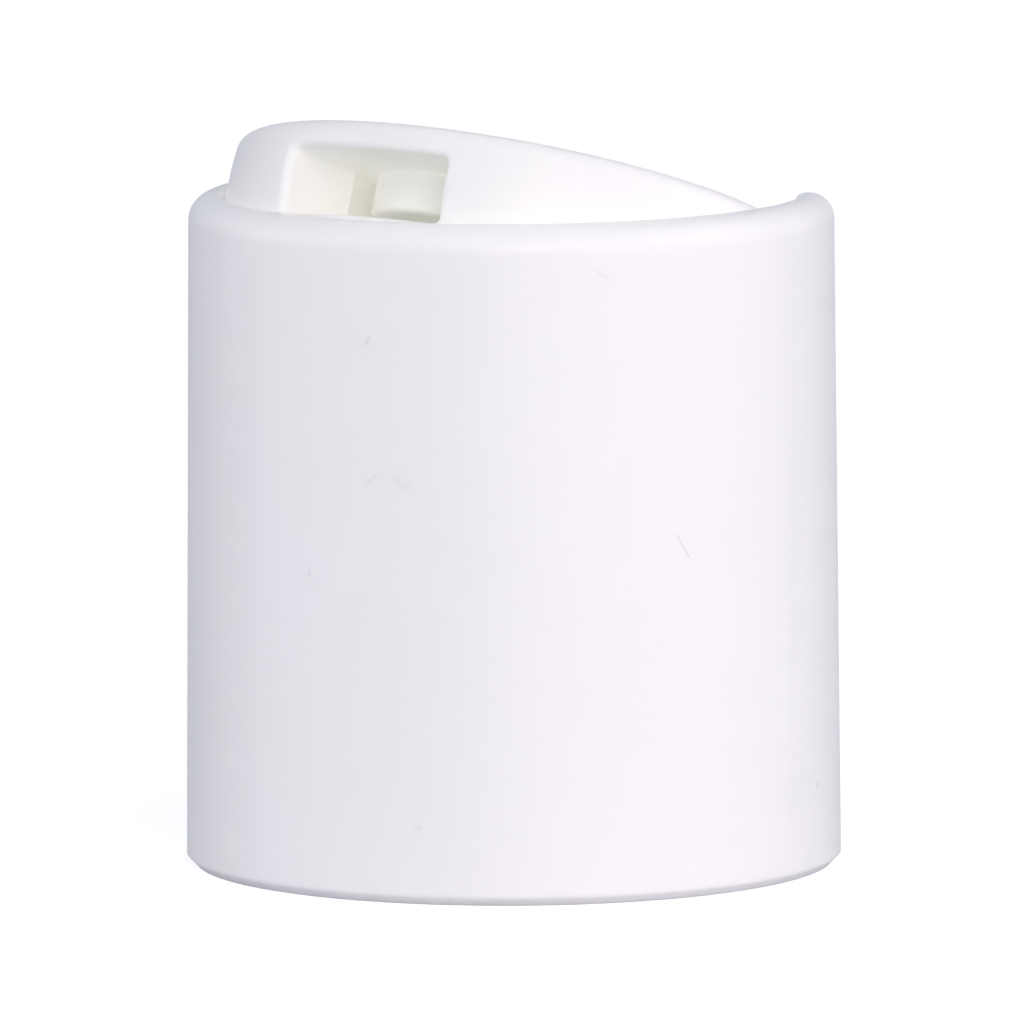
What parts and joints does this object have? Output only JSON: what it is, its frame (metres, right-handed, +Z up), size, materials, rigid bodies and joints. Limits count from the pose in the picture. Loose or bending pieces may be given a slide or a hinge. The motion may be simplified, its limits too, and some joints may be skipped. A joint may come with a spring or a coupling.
{
  "type": "disc top cap",
  "caption": "Screw-on dispensing cap for a bottle, with a rocking disc that lifts its pouring window when its rear is pressed.",
  "frame": {"origin": "centre of the flat base, on the axis of the bottle neck", "axes": "+Z up along the neck axis, the pouring window faces -Y, the disc rocks about an axis along X"},
  "size_m": [0.0284, 0.0284, 0.0332],
  "materials": {
    "white_polypropylene": "satin moulded",
    "white_foam": "matte closed-cell foam"
  },
  "bodies": {
    "cap": {"cap_body": "white_polypropylene", "neck_gasket": "white_foam"},
    "disc": {"disc_actuator": "white_polypropylene"}
  },
  "joints": [
    {"name": "disc_tilt", "type": "hinge", "parent": "cap", "child": "disc", "pos_m": [0, 0, 0.0272], "axis": [1, 0, 0], "range_deg": [0, 19.4]}
  ]
}
